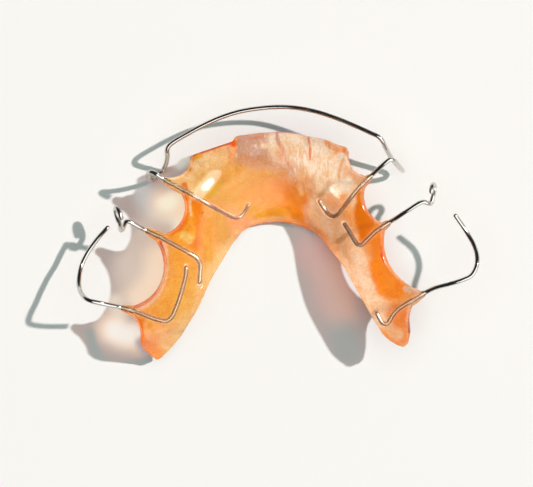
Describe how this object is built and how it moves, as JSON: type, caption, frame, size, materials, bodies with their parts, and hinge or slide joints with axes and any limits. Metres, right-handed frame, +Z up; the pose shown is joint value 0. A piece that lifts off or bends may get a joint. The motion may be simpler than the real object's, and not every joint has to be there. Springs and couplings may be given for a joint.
{
  "type": "hawley retainer",
  "caption": "Upper orthodontic retainer: a tinted clear acrylic horseshoe plate scalloped to the teeth, with a wire bow in front, eyelet clasps and C clasps.",
  "frame": {"origin": "middle of the bounding box, on the table that the appliance lies on", "axes": "+Z up, out of the tooth side of the appliance; +Y towards the front teeth; +X across the mouth, to the right when it is seen from above with the front teeth at the top"},
  "size_m": [0.0602, 0.0373, 0.0104],
  "materials": {
    "acrylic": "clear orange cast acrylic, polished",
    "wire": "bright drawn stainless wire"
  },
  "bodies": {
    "root": {"base_plate": "acrylic", "labial_bow": "wire", "eyelet_clasp_left": "wire", "eyelet_clasp_right": "wire", "c_clasp_left": "wire", "c_clasp_right": "wire"}
  },
  "joints": []
}
